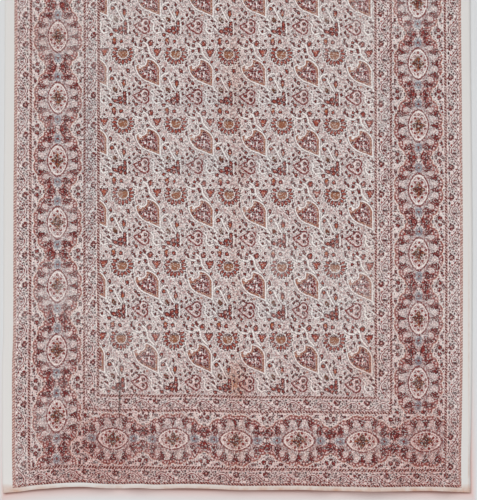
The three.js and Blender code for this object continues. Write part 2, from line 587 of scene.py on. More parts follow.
class Block:
    """One repeated block of a print: the places on its chart, in the chart's units.

    Its seam moves the line where one block ends and the next begins. Each block is set down askew
    by up to its slip, its lines wander by its sway, and its ink is uneven from block to block.
    """

    def __init__(self, dye, chart, seam=0.0, slip=0.006, sway=0.014, uneven=0.34):
        self.dye = dye
        self.chart = chart
        self.uneven = uneven
        laid = dye.node("ShaderNodeUVMap", uv_map="Print")
        number = dye.vector("FLOOR", dye.vector("ADD", laid, (0, seam, 0)))
        aside = dye.node("ShaderNodeTexWhiteNoise", {"Vector": number}, output="Color")
        off = dye.shaken(aside, slip)
        swing = dye.cloudy(laid, SWAY_SCALE, 3.0, output="Color", Roughness=0.7)
        wander = dye.shaken(swing, sway)
        self.laid = dye.vector("ADD", dye.vector("ADD", laid, off), wander)
        wrapped = dye.vector("FRACTION", self.laid)
        self.place = dye.vector("MULTIPLY", wrapped, (*chart, 0))
        self.chance = dye.node("ShaderNodeTexWhiteNoise", {"Vector": number}, output="Value")
        self.grain = dye.cloudy(self.place, GRAIN_SCALE, 1.0)

    def around(self, x, y):
        """The place on the chart counted from this point, across the block's edges too."""
        width, height = self.chart
        shifted = self.dye.vector("ADD", self.laid, (0.5 - x / width, 0.5 - y / height, 0))
        wrapped = self.dye.vector("FRACTION", shifted)
        return self.dye.vector("MULTIPLY_ADD", wrapped, (width, height, 0), (-width / 2, -height / 2, 0))

    def copies(self, x, y, reach):
        """The point, and its twin across each edge of the block that its motif crosses."""
        width, height = self.chart
        for right in (-width, 0, width):
            for down in (-height, 0, height):
                inside_x = -reach < x + right < width + reach
                inside_y = -reach < y + down < height + reach
                if inside_x and inside_y:
                    yield x + right, y + down

    def spots(self, rows, place=None):
        """The distance from the nearest of a table's spots and leaves, less its own size."""
        return least_of(self.each_spot(rows, place))

    def each_spot(self, rows, place):
        """The distances of a table's spots, those of one turn and length after the other."""
        whole = place is None
        place = self.place if whole else place
        for turn, long in sorted({(row.turn, row.long) for row in rows}):
            frame_of = squeeze(turn, long)
            seen = place
            if long != 1:
                seen = self.dye.vector("MULTIPLY", turned(self.dye, place, turn), (1 / long, 1, 0))
            for row in rows:
                if (row.turn, row.long) != (turn, long):
                    continue
                reach = row.size * long + SPOT_MARGIN
                twins = self.copies(row.x, row.y, reach) if whole else [(row.x, row.y)]
                for x, y in twins:
                    centre = frame_of @ Vector((x, y))
                    yield self.dye.circle(seen, centre.x, centre.y, row.size)

    def stroke(self, points, place=None):
        """The distance from a line drawn through the points."""
        place = self.place if place is None else place
        return least_of(self.stretch(place, *ends) for ends in zip(points, points[1:]))

    def stretch(self, place, start, end):
        """The distance from one straight stretch of a stroke."""
        start, end = Vector((*start, 0)), Vector((*end, 0))
        way = end - start
        pace = way / way.length_squared
        share = self.dye.vector("DOT_PRODUCT", place, pace)
        share = share.sum("SUBTRACT", share, start.dot(pace), use_clamp=True)
        nearby = self.dye.vector("MULTIPLY_ADD", share, way, start)
        return self.dye.vector("DISTANCE", place, nearby)

    def vines(self, table):
        """The distance from the nearest of a table's vines, across the block's edges too."""
        return least_of(self.vine(points) for points in table)

    def vine(self, points):
        x = sum(point[0] for point in points) / len(points)
        y = sum(point[1] for point in points) / len(points)
        shifted = [(point[0] - x, point[1] - y) for point in points]
        return self.stroke(shifted, self.around(x, y))

    def ellipse(self, place, x, y, half_wide, half_tall):
        """How many times its own size a place lies outside an ellipse."""
        size = (1 / half_wide, 1 / half_tall, 0)
        off = (-x / half_wide, -y / half_tall, 0)
        return self.dye.vector("LENGTH", self.dye.vector("MULTIPLY_ADD", place, size, off)) - 1

    def lean(self, place, slope, offset):
        """How far a place lies past a slanted line, whose outward direction is given in degrees."""
        angle = math.radians(slope)
        return self.dye.vector("DOT_PRODUCT", place, (math.cos(angle), math.sin(angle), 0)) - offset


def squeeze(turn, long):
    """The frame in which a leaf of this turn and length is round."""
    rotation = Matrix.Rotation(math.radians(turn), 2)
    return Matrix(((1 / long, 0), (0, 1))) @ rotation.inverted()


def turned(dye, place, turn):
    if not turn:
        return place
    values = {"Vector": place, "Angle": -math.radians(turn)}
    return dye.node("ShaderNodeVectorRotate", values, rotation_type="Z_AXIS")


Spot = namedtuple("Spot", "x y size turn long", defaults=(0, 1))

# The field's block. Sizes are half widths, and a leaf is as many times longer as its last number.
# Turns are in degrees from the chart's right, downwards.
FIELD_BUDS = [
    Spot(36.7, 58.3, 3.4, 65, 1.6),
    Spot(6.7, 74.4, 4.0),
    Spot(3.9, 56.7, 3.3, 80, 1.4),
    Spot(29.1, 81.6, 3.9, 90, 1.9),
    Spot(59.4, 81.7, 3.3, 60, 1.2),
    Spot(52.8, 75.6, 2.3, 65, 1.8),
    Spot(47.2, 46.1, 2.1, 90, 1.8),
    Spot(26.7, 66.7, 2.1, 65, 1.6),
    Spot(12.2, 67.8, 2.2),
    Spot(80, 6.7, 4.9, 120, 1.2),
    Spot(23.9, 3.3, 4.1),
    Spot(10.6, 3, 4.2, 90, 1.8),
    Spot(45.6, 3.3, 2.3, 65, 1.6),
    Spot(51, 8.7, 2.2, 65, 1.8),
    Spot(61.7, 3.3, 3.1),
    Spot(60.6, 10.6, 2.8),
    Spot(70, 1.7, 2.7),
    Spot(71.1, 19.4, 2.8, 65, 1.8),
    Spot(59.4, 21.1, 2.9),
    Spot(74.4, 31.1, 2.7, 120, 1.3),
    Spot(65, 32.2, 1.6, 90, 2.2),
    Spot(58.6, 41.1, 2.2, 65, 1.6),
    Spot(95, 41.1, 3.2),
    Spot(96.7, 1.7, 2.5),
    Spot(91.7, 9.4, 2.1),
    Spot(71.1, 87.8, 2.3),
    Spot(48, 86.7, 2.0, 90, 1.4),
    Spot(39.4, 93.3, 2.5),
    Spot(40, 102.8, 2.3, 65, 1.4),
    Spot(52.8, 123.3, 3.7),
    Spot(47.8, 117.8, 2.4, 65, 1.4),
    Spot(39.4, 121, 2.4),
    Spot(4.4, 123.9, 3.8),
    Spot(10, 103.9, 1.9),
    Spot(22.8, 97.8, 1.8),
    Spot(80, 125, 2.5),
    Spot(68, 131.5, 2.7),
    Spot(97, 97.5, 1.8, 20, 2.4),
    Spot(99.3, 105.4, 2.1),
    Spot(91, 116.3, 2.4),
    Spot(92.7, 109.4, 1.6),
    Spot(89.7, 90.6, 1.9),
    Spot(46.4, 131, 2.2),
    Spot(19.6, 73.4, 1.5, 90, 2.2),
    Spot(15, 85, 1.4),
    Spot(1.7, 107.6, 2.1),
    Spot(50.2, 94, 2.2, 120, 1.4),
    Spot(56.7, 90.6, 1.9, 20, 1.8),
    Spot(62, 93.2, 2.0, 65, 1.4),
    Spot(31, 102.5, 3.5, 90, 1.8),
    Spot(30.8, 112, 4.2, 90, 1.4),
    Spot(31.6, 121.4, 2.9, 90, 1.4),
    Spot(22, 112, 4.1, 120, 1.3),
    Spot(23.6, 119.4, 4.3),
    Spot(13.6, 116.6, 3.7, 20, 1.8),
    Spot(7.6, 113.4, 1.9),
    Spot(87.4, 20.6, 3.1, 65, 1.4),
    Spot(92, 22.8, 6.0),
    Spot(96.8, 20.6, 3.1, 120, 1.4),
    Spot(91.6, 28.4, 3.6),
]
FIELD_DARK = [
    Spot(15.6, 99.6, 2.2),
    Spot(4.7, 88.8, 1.4),
    Spot(3, 63.6, 1.5),
    Spot(65, 89.4, 2.0),
    Spot(83.3, 97.9, 1.8),
    Spot(86.7, 111.2, 1.5),
    Spot(67.8, 111, 1.9),
    Spot(29, 90.4, 1.6),
    Spot(17.5, 108, 1.3),
    Spot(26.5, 109, 1.2),
    Spot(88.4, 13.7, 1.7),
    Spot(41, 68, 1.3),
    Spot(73, 96, 1.2),
    Spot(57, 128, 1.4),
    Spot(87, 130, 1.3),
    Spot(34.5, 92, 1.1),
    Spot(52.6, 16, 1.1),
    Spot(66, 26, 1.2),
    Spot(84, 120, 1.2),
    Spot(96.5, 125, 1.3),
]
FIELD_TAN = [
    Spot(29, 84.6, 1.7, 90, 1.5),
    Spot(10.4, 0.6, 2.6),
    Spot(92, 24, 1.5),
    Spot(76.4, 86.6, 1.8),
    Spot(6.6, 73.8, 1.3),
]
FIELD_BLOOMS = [
    Spot(71, 55.6, 3.0, 90, 1.3),
    Spot(66.4, 70, 2.5),
    Spot(84.6, 62, 2.0),
    Spot(77.4, 73.6, 2.3),
    Spot(60.4, 62.4, 2.2, 65, 1.5),
    Spot(81, 45, 2.4, 65, 1.5),
    Spot(88.4, 76, 2.3),
    Spot(77, 64, 2.0),
    Spot(58.4, 106, 3.3),
    Spot(70, 102.4, 3.2),
    Spot(69.2, 113.4, 3.2),
]
ROSETTE = (27.2, 26.4)
PETALS = 15
PETAL_RING = 16.4
PETAL_SIZE = 4.8
DOT_RING = 22
DOT_SIZE = 1.8
DOME = 9.2
HALO = 12
PAISLEY = (80, 62)
HEART = (46.8, 106)
# The cream vines between the motifs, each drawn through its points.
FIELD_VINES = [
    [(12.5, 63), (5, 64.6), (0, 70), (-1.7, 79), (-1, 88), (1.8, 101), (6.4, 110)],
    [(-3, 108), (6, 115.6), (17, 124.5)],
    [(12, 70), (15, 77), (18.4, 84), (22.6, 92), (26.5, 99)],
    [(33.5, 93), (36.6, 104), (36, 122)],
    [(64, 4), (72, 8), (76, 16.5), (77.2, 24), (81, 30), (89, 38)],
    [(43.5, 2), (47.5, 11), (55, 15.2), (64, 16.6)],
    [(95, 88), (104, 97)],
    [(80, 98), (85.6, 104), (84, 114), (90, 121.5), (98, 119)],
]
FIELD_THIN_VINES = [
    [(12.5, 63), (19, 65.5), (31.8, 72), (41, 79), (49, 85.7)],
    [(20, 50), (26, 56), (33, 63)],
]
FIELD_THISTLES = [
    Spot(12.8, 95.2, 3.5, 60, 1.7),
]


Rosette = namedtuple("Rosette", "halo petals dots dome crown")


def rosette(block):
    """The large flower: a dome with a frayed top, and a ring of petals that is open above it."""
    dye = block.dye
    place = block.around(*ROSETTE)
    right, down, _ = dye.parts(place)
    far = dye.vector("LENGTH", place)
    round_turn = right.sum("ARCTAN2", right, down) * (PETALS / math.tau)
    from_petal = abs((round_turn + 0.5).fract() - 0.5)
    width_of_one = far * (math.tau / PETALS)
    opening = ((0 - down - 11) * 1.7).most(0)
    beside = from_petal * width_of_one
    shape = dye.node("ShaderNodeCombineXYZ", [beside * 1.6, (far - PETAL_RING) * 0.92, 0])
    petals = dye.vector("LENGTH", shape) - PETAL_SIZE + opening
    gap = dye.node("ShaderNodeCombineXYZ", [(0.5 - from_petal) * width_of_one, far - DOT_RING, 0])
    dots = dye.vector("LENGTH", gap) - DOT_SIZE + opening
    dome = (far - DOME).most(0 - down - 6)
    crown = (abs(down + 5.6 + from_petal * 6) - 2.6).most(far - DOME - 0.2)
    return Rosette(far - HALO, petals, dots, dome, crown)


def paisley(block):
    """How far a place lies outside the large paisley with its hooked tip."""
    place = block.around(*PAISLEY)
    dye = block.dye
    right_curve = dye.circle(place, -8.5, 1, 25).least(block.lean(place, 270, -1))
    right_curve = right_curve.most(block.lean(place, 0, 15.6))
    hollow = 0 - dye.circle(place, -16, -20, 9.8).least(dye.circle(place, -19.5, -10, 3.6))
    lower_curve = dye.circle(place, 4.5, -14.6, 31.6)
    tip = block.lean(place, 112.6, 16.2).most(block.lean(place, 180, 2))
    hook = block.lean(place, 240, 23.2)
    return right_curve.most(hollow).most(lower_curve.least(tip)).most(hook)


def heart(block):
    """How far a place lies outside the small heart-shaped paisley, whose tip points left."""
    place = block.around(*HEART)
    dye = block.dye
    upper = dye.circle(place, 22, -4.2, 8.3)
    lower = dye.circle(place, 21.6, 7.6, 8.5)
    underside = dye.circle(place, 34.8, -25, 42.8)
    body = block.lean(place, 0, 22).most(block.lean(place, 242, 0)).most(underside)
    return body.least(upper).least(lower)


# Fine wandering lines, like those that the outlining block leaves: how large their windings are
# in the chart's units, how many lines cross a winding, and how wide a line is, as a share.
Scribble = namedtuple("Scribble", "size lines half_width")
GREY_LINES = Scribble(8, 3.4, 0.13)
ROSE_LINES = Scribble(9, 3.1, 0.12)
HEART_LINES = Scribble(6, 3.4, 0.13)
FROND_LINES = Scribble(5, 4.0, 0.2)
SPECK_SCALE = 0.42
RAGGED = 5  # how unevenly a motif's edge prints, in the chart's units


def contours(dye, place, scribble):
    clouds = dye.cloudy(place, 1 / scribble.size, 1.0) * scribble.lines
    return abs(clouds.fract() - 0.5).below(scribble.half_width, 0.1)


def scribbled_ground(dye, place, clear, grey_share, rose_share):
    """The ground between the motifs: cream, with grey and rose lines wherever it is clear."""
    grey = contours(dye, place, GREY_LINES)
    elsewhere = dye.vector("ADD", place, (37, 11, 0))
    rose = contours(dye, elsewhere, ROSE_LINES)
    specks = dye.cloudy(elsewhere, SPECK_SCALE, 0.0).over(0.6)
    colour = dye.lay(clear, RESIST, GROUND)
    colour = dye.lay(rose * clear * rose_share, colour, INK_ROSE)
    colour = dye.lay(grey * clear * grey_share, colour, INK_GREY)
    return dye.lay(specks * clear * grey_share, colour, INK_GREY)


def motif(block, colour, distance, body, centre):
    """A printed motif: its body with darker petals, a paler centre, and a dark broken outline."""
    dye = block.dye
    ragged = distance + (block.grain - 0.5) * RAGGED
    colour = dye.lay(ragged.below(0.3, 0.5), colour, body)
    colour = dye.lay(ragged.below(-1.8, 0.7) * 0.62, colour, centre)
    veins = block.grain.below(0.45, 0.04) * distance.below(0.4, 0.4)
    return dye.lay(ragged.line(-0.2, 0.8, 0.5).most(veins) * 0.82, colour, MAROON)


def florets(block, colour, within, pitch, base, inks):
    """Fills a part of the print with small petals packed close.

    Each ink takes over from the one before it above its own number, a share of the petals.
    """
    dye = block.dye
    seen = {"Vector": block.place, "Scale": 1 / pitch, "Randomness": 0.8}
    from_middle = dye.node("ShaderNodeTexVoronoi", seen, "Distance", voronoi_dimensions="2D")
    cells = dye.node("ShaderNodeTexVoronoi", seen, "Color", voronoi_dimensions="2D")
    pick, _, _ = dye.parts(cells)
    colour = dye.lay(within * 0.85, colour, base)
    petal = from_middle.below(0.45, 0.09) * within
    for ink, above in inks:
        colour = dye.lay(petal * pick.over(above), colour, ink)
    return colour


def fill_paisley(block, colour, leaf):
    """The large paisley: packed petals inside a tan band, with a madder line on its two sides."""
    dye = block.dye
    petals = [(MADDER, 0), (MAROON, 0.42), (RED, 0.72), (BARE, 0.9)]
    colour = florets(block, colour, leaf.below(-3.4, 0.5), 3.7, MAUVE, petals)
    band = leaf.line(-1.6, 1.4, 0.4)
    colour = dye.lay(band * 0.9, colour, TAN)
    colour = dye.lay(band * block.grain.below(0.48, 0.05) * 0.7, colour, OLIVE)
    lines = leaf.line(-3.9, 0.7, 0.4).most(leaf.line(0.2, 0.6, 0.4))
    return dye.lay(lines * 0.8, colour, MADDER)


def fill_heart(block, colour, small):
    """The heart: pale cotton with rose lines, inside a madder outline."""
    dye = block.dye
    within = small.below(-1.6, 0.5)
    lines = contours(dye, block.place, HEART_LINES)
    colour = dye.lay(within * 0.9, colour, GROUND)
    colour = dye.lay(lines * within * 0.75, colour, INK_ROSE)
    return dye.lay(small.line(-0.4, 1.6, 0.4), colour, MADDER)


def fill_dome(block, colour, flower):
    """The rosette's brown dome, flecked with olive, and its dark frayed crown."""
    dye = block.dye
    within = flower.dome.below(0, 0.6)
    colour = dye.lay(within * 0.95, colour, BROWN)
    colour = dye.lay(within * block.grain.below(0.5, 0.1) * 0.4, colour, OLIVE)
    return dye.lay(flower.crown.below(0, 0.8) * 0.9, colour, MAROON)


def fill_thistles(block, colour):
    """The olive thistles with their madder line."""
    dye = block.dye
    thistles = block.spots(FIELD_THISTLES)
    colour = dye.lay(thistles.below(0.3, 0.6), colour, OLIVE)
    return dye.lay(thistles.line(-1.6, 0.7, 0.5) * 0.8, colour, MADDER)


def field_print(dye):
    """The field: a rosette, a large paisley, a small heart-shaped one, vines, buds and leaves."""
    block = Block(dye, FIELD_CHART, seam=0.035)
    vines = block.vines(FIELD_VINES)
    flower = rosette(block)
    leaf = paisley(block)
    small = heart(block)
    buds = block.spots(FIELD_BUDS).least(flower.petals)
    dark = block.spots(FIELD_DARK).least(flower.dots)

    motifs = buds.least(dark)
    cream = motifs.below(1.4, 0.8).most(vines.below(1.25, 0.5)).most(leaf.below(2.8, 0.5))
    cream = cream.most(block.vines(FIELD_THIN_VINES).below(0.5, 0.5))
    cream = cream.most(small.below(1.6, 0.5))
    colour = scribbled_ground(dye, block.place, 1 - cream, 0.56, 0.5)
    edges = vines.line(2.2, 0.4, 0.4) * motifs.over(0.6)
    colour = dye.lay(edges * (1 - leaf.below(3)) * 0.6, colour, INK_GREY)
    colour = dye.lay(leaf.line(3.6, 0.5, 0.4) * 0.6, colour, INK_GREY)
    colour = dye.lay(flower.halo.below(0, 0.8) * 0.3, colour, RESIST)

    colour = fill_paisley(block, colour, leaf)
    colour = fill_heart(block, colour, small)
    colour = motif(block, colour, block.spots(FIELD_BLOOMS), MADDER, SALMON)
    colour = fill_dome(block, colour, flower)
    colour = motif(block, colour, buds, MADDER, SALMON)
    colour = fill_thistles(block, colour)
    colour = dye.lay(block.spots(FIELD_TAN).below(0, 0.6) * 0.85, colour, TAN)
    colour = dye.lay(dark.below(0, 0.5) * 0.95, colour, MAROON)
    return colour, block


BORDER_CLUSTERS = [
    Spot(30.8, 0, 3.0, 0, 2),
    Spot(35, 2.4, 3.1, 45, 1.4),
    Spot(28.6, 21.6, 2.8, 15, 1.9),
    Spot(32.2, 20.4, 2.7, 120, 1.3),
    Spot(33, 25.2, 3.0, 45, 1.4),
    Spot(36.8, 26.8, 2.8),
    Spot(16.2, 37.6, 2.9, 60, 1.6),
    Spot(19.8, 41.4, 3.0, 45, 1.4),
    Spot(14.2, 42, 2.8, 120, 1.3),
    Spot(9.4, 61, 5.2),
    Spot(17, 60.6, 3.0),
    Spot(12.6, 55, 3.0, 120, 1.3),
]
# The frame's scallops, each by the middle and the radius of its circle, and the pale discs in them.
SCALLOPS = [(27, 11.5, 19.5), (21.6, 34, 16.2), (11.5, 50, 15.2)]
DISCS = [(30.6, 11.4, 5.2), (24, 32, 4.6), (25.6, 52.5, 2.6)]
# The beaded hoop that runs round inside the scallops, and how far inside them its middle lies.
BEAD_DEPTH = 4.2
BEAD_PITCH = 5.7
BEAD = 1.5
HOOP = 3.2
OVAL = (19.4, 31)
OVAL_POINT = (-19.4, 0, 38.4)
BORDER_DOTS = [
    Spot(0, 42.4, 2.2),
    Spot(0, 21.8, 2.7),
    Spot(6.4, 14.2, 2.8),
    Spot(13.2, 6.6, 2.8),
]
BORDER_RED = [
    Spot(24.6, 44, 2.4),
    Spot(40, 55, 4.3),
    Spot(44, 34.6, 2.5, 90, 1.7),
    Spot(46.8, 61, 2.2),
    Spot(33.6, 60.4, 2.0),
    Spot(5.6, 0, 2.9, 0, 1.7),
    Spot(0, 6, 2.9, 90, 1.7),
]
BORDER_DARK = [
    Spot(26.4, 59.6, 1.9),
    Spot(30.5, 55, 1.5),
    Spot(47.6, 21.4, 1.4),
    Spot(48, 0, 1.9),
    Spot(38.4, 42.6, 1.4),
    Spot(46.2, 46.6, 1.4),
    Spot(33.4, 49.4, 1.3),
    Spot(47.4, 10, 1.1),
    Spot(3.4, 3.6, 1.6),
    Spot(9.6, 2.8, 1.3),
    Spot(3, 54, 1.7),
    Spot(14.6, 60.6, 1.9),
    Spot(19.4, 60.2, 1.3),
    Spot(0, 31.6, 1.2),
    Spot(5, 49.6, 1.0),
    Spot(24, 38.6, 1.4),
    Spot(36.6, 19.6, 1.5),
    Spot(36, 4.6, 1.3),
]


def beads(block, place):
    """The distance from the nearest of the beads, which run round inside the scallops."""
    dye = block.dye
    nearest = None
    for x, y, radius in SCALLOPS:
        off = dye.vector("SUBTRACT", place, (x, y, 0))
        right, down, _ = dye.parts(off)
        ring = radius - BEAD_DEPTH
        count = round(math.tau * ring / BEAD_PITCH)
        turn = right.sum("ARCTAN2", right, down) * (count / math.tau)
        along = (turn.fract() - 0.5) * BEAD_PITCH
        distance = dye.node("ShaderNodeCombineXYZ", [along, dye.vector("LENGTH", off) - ring, 0])
        distance = dye.vector("LENGTH", distance)
        nearest = distance if nearest is None else nearest.least(distance)
    return nearest


def scalloped(block, place):
    """How far a place lies outside the medallion's scalloped frame."""
    edge = block.ellipse(place, 0, 0, 30, 56) * 30
    for scallop in SCALLOPS:
        edge = edge.least(block.dye.circle(place, *scallop))
    return edge.least(block.lean(place, 0, 15))


def fill_discs(block, colour, place):
    """The pale discs in the scallops, each with a fine rose ring."""
    dye = block.dye
    disc = least_of(dye.circle(place, *row) for row in DISCS)
    colour = dye.lay(disc.below(0, 0.6) * 0.45, colour, RESIST)
    return dye.lay(disc.line(-2.2, 0.5, 0.5) * 0.5, colour, INK_ROSE)


def fill_palmette(block, colour, place):
    """The blue-grey palmette between one medallion and the next, with its grey fronds."""
    dye = block.dye
    within = block.ellipse(place, 0, 42.4, 7, 10).below(0, 0.3)
    colour = dye.lay(within * 0.7, colour, BLUE_GREY)
    return dye.lay(contours(dye, place, FROND_LINES) * within * 0.85, colour, INK_GREY)


def fill_hoop(block, colour, place, edge):
    """The hoop inside the scallops: petals on brick red, pale beads, and a madder line within."""
    dye = block.dye
    hoop = edge.line(-BEAD_DEPTH, HOOP, 0.5)
    petals = [(MADDER, 0), (MAROON, 0.5), (BRICK, 0.76)]
    colour = florets(block, colour, hoop, 4.0, BRICK, petals)
    colour = dye.lay(beads(block, place).below(BEAD, 0.5) * hoop * 0.9, colour, GROUND)
    return dye.lay(edge.line(-BEAD_DEPTH - HOOP, 0.8, 0.5) * 0.8, colour, MADDER)


def fill_horns(block, colour, place, edge):
    """The horns of packed petals in the shoulders of the frame."""
    horns = (edge + 6.4).most(33.2 - block.lean(place, 32, 0)).most(block.lean(place, 270, -36))
    petals = [(MADDER, 0), (MAROON, 0.4), (RED, 0.68), (GROUND, 0.84)]
    return florets(block, colour, horns.below(0, 0.8), 4.4, BRICK, petals)


def fill_cross(block, colour, place):
    """The oval's flower: a cross of packed petals with a full middle."""
    cross = block.ellipse(place, 0, 0, 5.8, 14.5).least(block.ellipse(place, 0, 0, 13.4, 5))
    cross = cross.least(block.ellipse(place, 0, 0, 8.4, 9))
    petals = [(MADDER, 0), (MAROON, 0.3), (OLIVE, 0.54), (TAN, 0.86)]
    return florets(block, colour, cross.below(0, 0.12), 4.2, BROWN, petals)


def border_print(dye):
    """The medallion border: an oval with a cross flower, in a scalloped and beaded frame."""
    block = Block(dye, BORDER_CHART, slip=0.008, sway=0.02, uneven=0.4)
    chart_middle = (BORDER_CHART[0] / 2, BORDER_CHART[1] / 2, 0)
    place = dye.vector("ABSOLUTE", dye.vector("SUBTRACT", block.place, chart_middle))
    oval = (block.ellipse(place, 0, 0, *OVAL) * 19).most(dye.circle(place, *OVAL_POINT))
    edge = scalloped(block, place)
    tables = (BORDER_RED, BORDER_DARK, BORDER_CLUSTERS, BORDER_DOTS)
    red, dark, clusters, dots = [block.spots(rows, place) for rows in tables]

    cream = red.least(dark).least(clusters).least(dots).below(1.2, 0.7).most(oval.line(-2.3, 0.9, 0.4))
    cream = cream.most(edge.line(1.6, 0.6, 0.5))
    colour = scribbled_ground(dye, block.place, 1 - cream, 0.6, 0.75)
    colour = dye.lay(oval.line(6.5, 4.5, 2.5) * 0.16, colour, SLATE)
    colour = fill_discs(block, colour, place)
    colour = fill_palmette(block, colour, place)
    outside = (0 - edge).below(-3.4, 0.6) * (1 - cream)
    dotted = [(GROUND, 0), (MAROON, 0.55), (MADDER, 0.78)]
    colour = florets(block, colour, outside, 4.8, GROUND, dotted)

    colour = fill_hoop(block, colour, place, edge)
    colour = fill_horns(block, colour, place, edge)
    colour = dye.lay(edge.line(-1.2, 0.6, 0.5) * 0.7, colour, MADDER)
    colour = dye.lay(edge.line(0.2, 0.7, 0.5) * 0.7, colour, TAN)
    colour = motif(block, colour, clusters, MADDER, RED)
    colour = motif(block, colour, red, MADDER, RED)
    colour = fill_cross(block, colour, place)
    colour = dye.lay(dots.below(0.2, 0.5), colour, MADDER)
    colour = dye.lay(dots.below(-1.3, 0.6) * 0.6, colour, RED)
    colour = dye.lay(dark.below(0, 0.5) * 0.95, colour, MAROON)
    colour = dye.lay(oval.line(0.4, 1.2, 0.5) * 0.95, colour, MADDER)
    return colour, block


GUARD_RED = [
    Spot(3, 8.7, 2.0),
    Spot(11.4, 8.6, 2.0),
    Spot(9.4, 38, 1.6, 120, 1.8),
    Spot(6.6, 45, 1.7),
    Spot(3, 54, 1.8),
    Spot(22, 47, 1.6),
    Spot(9, 21.6, 2.0),
    Spot(8, 62, 1.7),
    Spot(17, 43.6, 1.7, 0, 2.2),
    Spot(21.6, 60.4, 1.6),
    Spot(2.8, 60.6, 1.3),
]
GUARD_DARK = [
    Spot(20, 36.6, 2.0, 90, 1.7),
    Spot(20, 6, 2.1),
    Spot(10.6, 56.6, 2.0),
    Spot(18.4, 56, 2.1),
    Spot(14.4, 60.4, 1.7),
    Spot(9.6, 15.6, 1.8, 0, 2.2),
    Spot(22, 14, 1.3),
    Spot(1.8, 20, 1.3),
    Spot(13.4, 2.4, 1.5),
    Spot(2.4, 44, 1.2),
]
GUARD_TAIL = [(4.6, 28), (2.6, 33), (4.8, 40.6)]
# The running vine: the middle of the guard that it swings about, and how far it swings.
VINE_MIDDLE = 11.4
VINE_SWING = 8.4


def guard_print(dye):
    """The narrow guard: a small paisley and a flower in turn, on either side of a running vine."""
    block = Block(dye, GUARD_CHART, slip=0.012, sway=0.02, uneven=0.4)
    place = block.place
    across, along, _ = dye.parts(place)
    angle = (along - (GUARD_MIDDLE - 1.5)) * (math.tau / GUARD_CHART[1])
    vine = across - (angle.sum("COSINE", angle) * VINE_SWING + VINE_MIDDLE)
    small = block.ellipse(place, 9, 21, 6.4, 8.2) * 7
    tail = block.stroke(GUARD_TAIL)
    flower = dye.circle(place, 16, 49.4, 3.6)
    red = block.spots(GUARD_RED)
    dark = block.spots(GUARD_DARK)
    cream = red.least(dark).least(small).least(flower - 1.4).below(1.2, 0.6)
    cream = cream.most(vine.line(-2.0, 0.8, 0.5))
    colour = scribbled_ground(dye, place, 1 - cream, 0.5, 0.62)
    specked = [(GROUND, 0), (MAROON, 0.42), (RED, 0.66), (BARE, 0.78)]
    colour = florets(block, colour, (1 - cream) * 0.9, 4.4, GROUND, specked)
    arcs = small.line(0, 1.1, 0.5).most(small.line(-3.2, 0.9, 0.5)).most(small.below(-5.6, 0.6))
    colour = dye.lay(arcs * 0.85, colour, ROPE_RED)
    colour = dye.lay(tail.below(1.0, 0.5).most(vine.line(0, 1.0, 0.5)) * 0.85, colour, ROPE_RED)
    colour = dye.lay(vine.line(-4.2, 0.8, 0.5) * 0.8, colour, INK_ROSE)
    colour = motif(block, colour, abs(flower) - 1.7, MADDER, RED)
    colour = dye.lay(flower.below(-2.4, 0.6), colour, SALMON)
    colour = dye.lay(red.below(0.2, 0.5), colour, MADDER)
    colour = dye.lay(dark.below(0.2, 0.5), colour, MAROON)
    return colour, block


# The rope's strokes: their slant, half their share of a pitch, and the stripe next to the
# selvedges, which took less ink.
ROPE_SLANT = 0.7
ROPE_STROKE = 0.4
OUTERMOST = 0.573
OUTERMOST_LOSS = 0.3


def rope_print(dye):
    """The rope stripe between the bands: slanted strokes, with a fine line along one edge."""
    block = Block(dye, (1, 1), slip=0.0, sway=0.05)
    across, along, _ = dye.parts(block.laid)
    strokes = abs((along + across * ROPE_SLANT).fract() - 0.5).below(ROPE_STROKE, 0.04)
    right, _, _ = dye.parts(dye.on_object())
    outermost = abs(right).over(OUTERMOST)
    colour = dye.lay(strokes * (1 - outermost * OUTERMOST_LOSS), ROPE_GAP, ROPE_RED)
    colour = dye.lay(across.line(0.97, 0.05, 0.05) * 0.6, colour, INK_ROSE)
    return colour, block


def plain_print(dye):
    """The unprinted selvedges and hems, which have no block."""
    return COTTON, None


# Patches by their middle and half sizes on the cloth. First the stains and tints that have come over the
# years.
StainAndShadePatch = namedtuple("StainAndShadePatch", "across up wide tall amount")
STAINS = [
    StainAndShadePatch(-4, 292, 38, 52, 1.0),
    StainAndShadePatch(-4, 130, 40, 90, 0.5),
    StainAndShadePatch(-4, 620, 26, 520, 0.24),
    StainAndShadePatch(-4, 1060, 60, 130, 0.26),
    StainAndShadePatch(346, 560, 40, 200, 0.16),
    StainAndShadePatch(14, 835, 22, 34, 0.35),
    StainAndShadePatch(336, 335, 46, 56, 0.45),
    StainAndShadePatch(352, 150, 60, 60, 0.36),
    StainAndShadePatch(-10, 1190, 40, 120, 0.16),
    StainAndShadePatch(604, 380, 3, 330, 0.3),
    StainAndShadePatch(604, 60, 3, 60, 0.4),
    StainAndShadePatch(-168, 108, 60, 56, 0.24),
    StainAndShadePatch(160, 112, 66, 60, 0.34),
    StainAndShadePatch(324, 108, 60, 56, 0.24),
    StainAndShadePatch(-500, 1180, 60, 50, 0.14),
    StainAndShadePatch(0, 0, 1800, 22, 1.05),
]
# Pink-red tints multiplied in: strongest over the lower border and its corners, lighter over the low field
# and up the side borders.
SHADES = [
    StainAndShadePatch(0, 110, 900, 190, 0.34),
    StainAndShadePatch(0, 20, 900, 60, 0.42),
    StainAndShadePatch(0, 300, 900, 160, 0.16),
    StainAndShadePatch(-360, 110, 170, 120, 0.55),
    StainAndShadePatch(480, 110, 130, 130, 0.6),
    StainAndShadePatch(470, 400, 90, 300, 0.3),
    StainAndShadePatch(-470, 330, 90, 300, 0.24),
    StainAndShadePatch(-500, 1200, 110, 60, 0.3),
    StainAndShadePatch(470, 900, 90, 400, 0.16),
    StainAndShadePatch(-470, 900, 90, 400, 0.16),
]
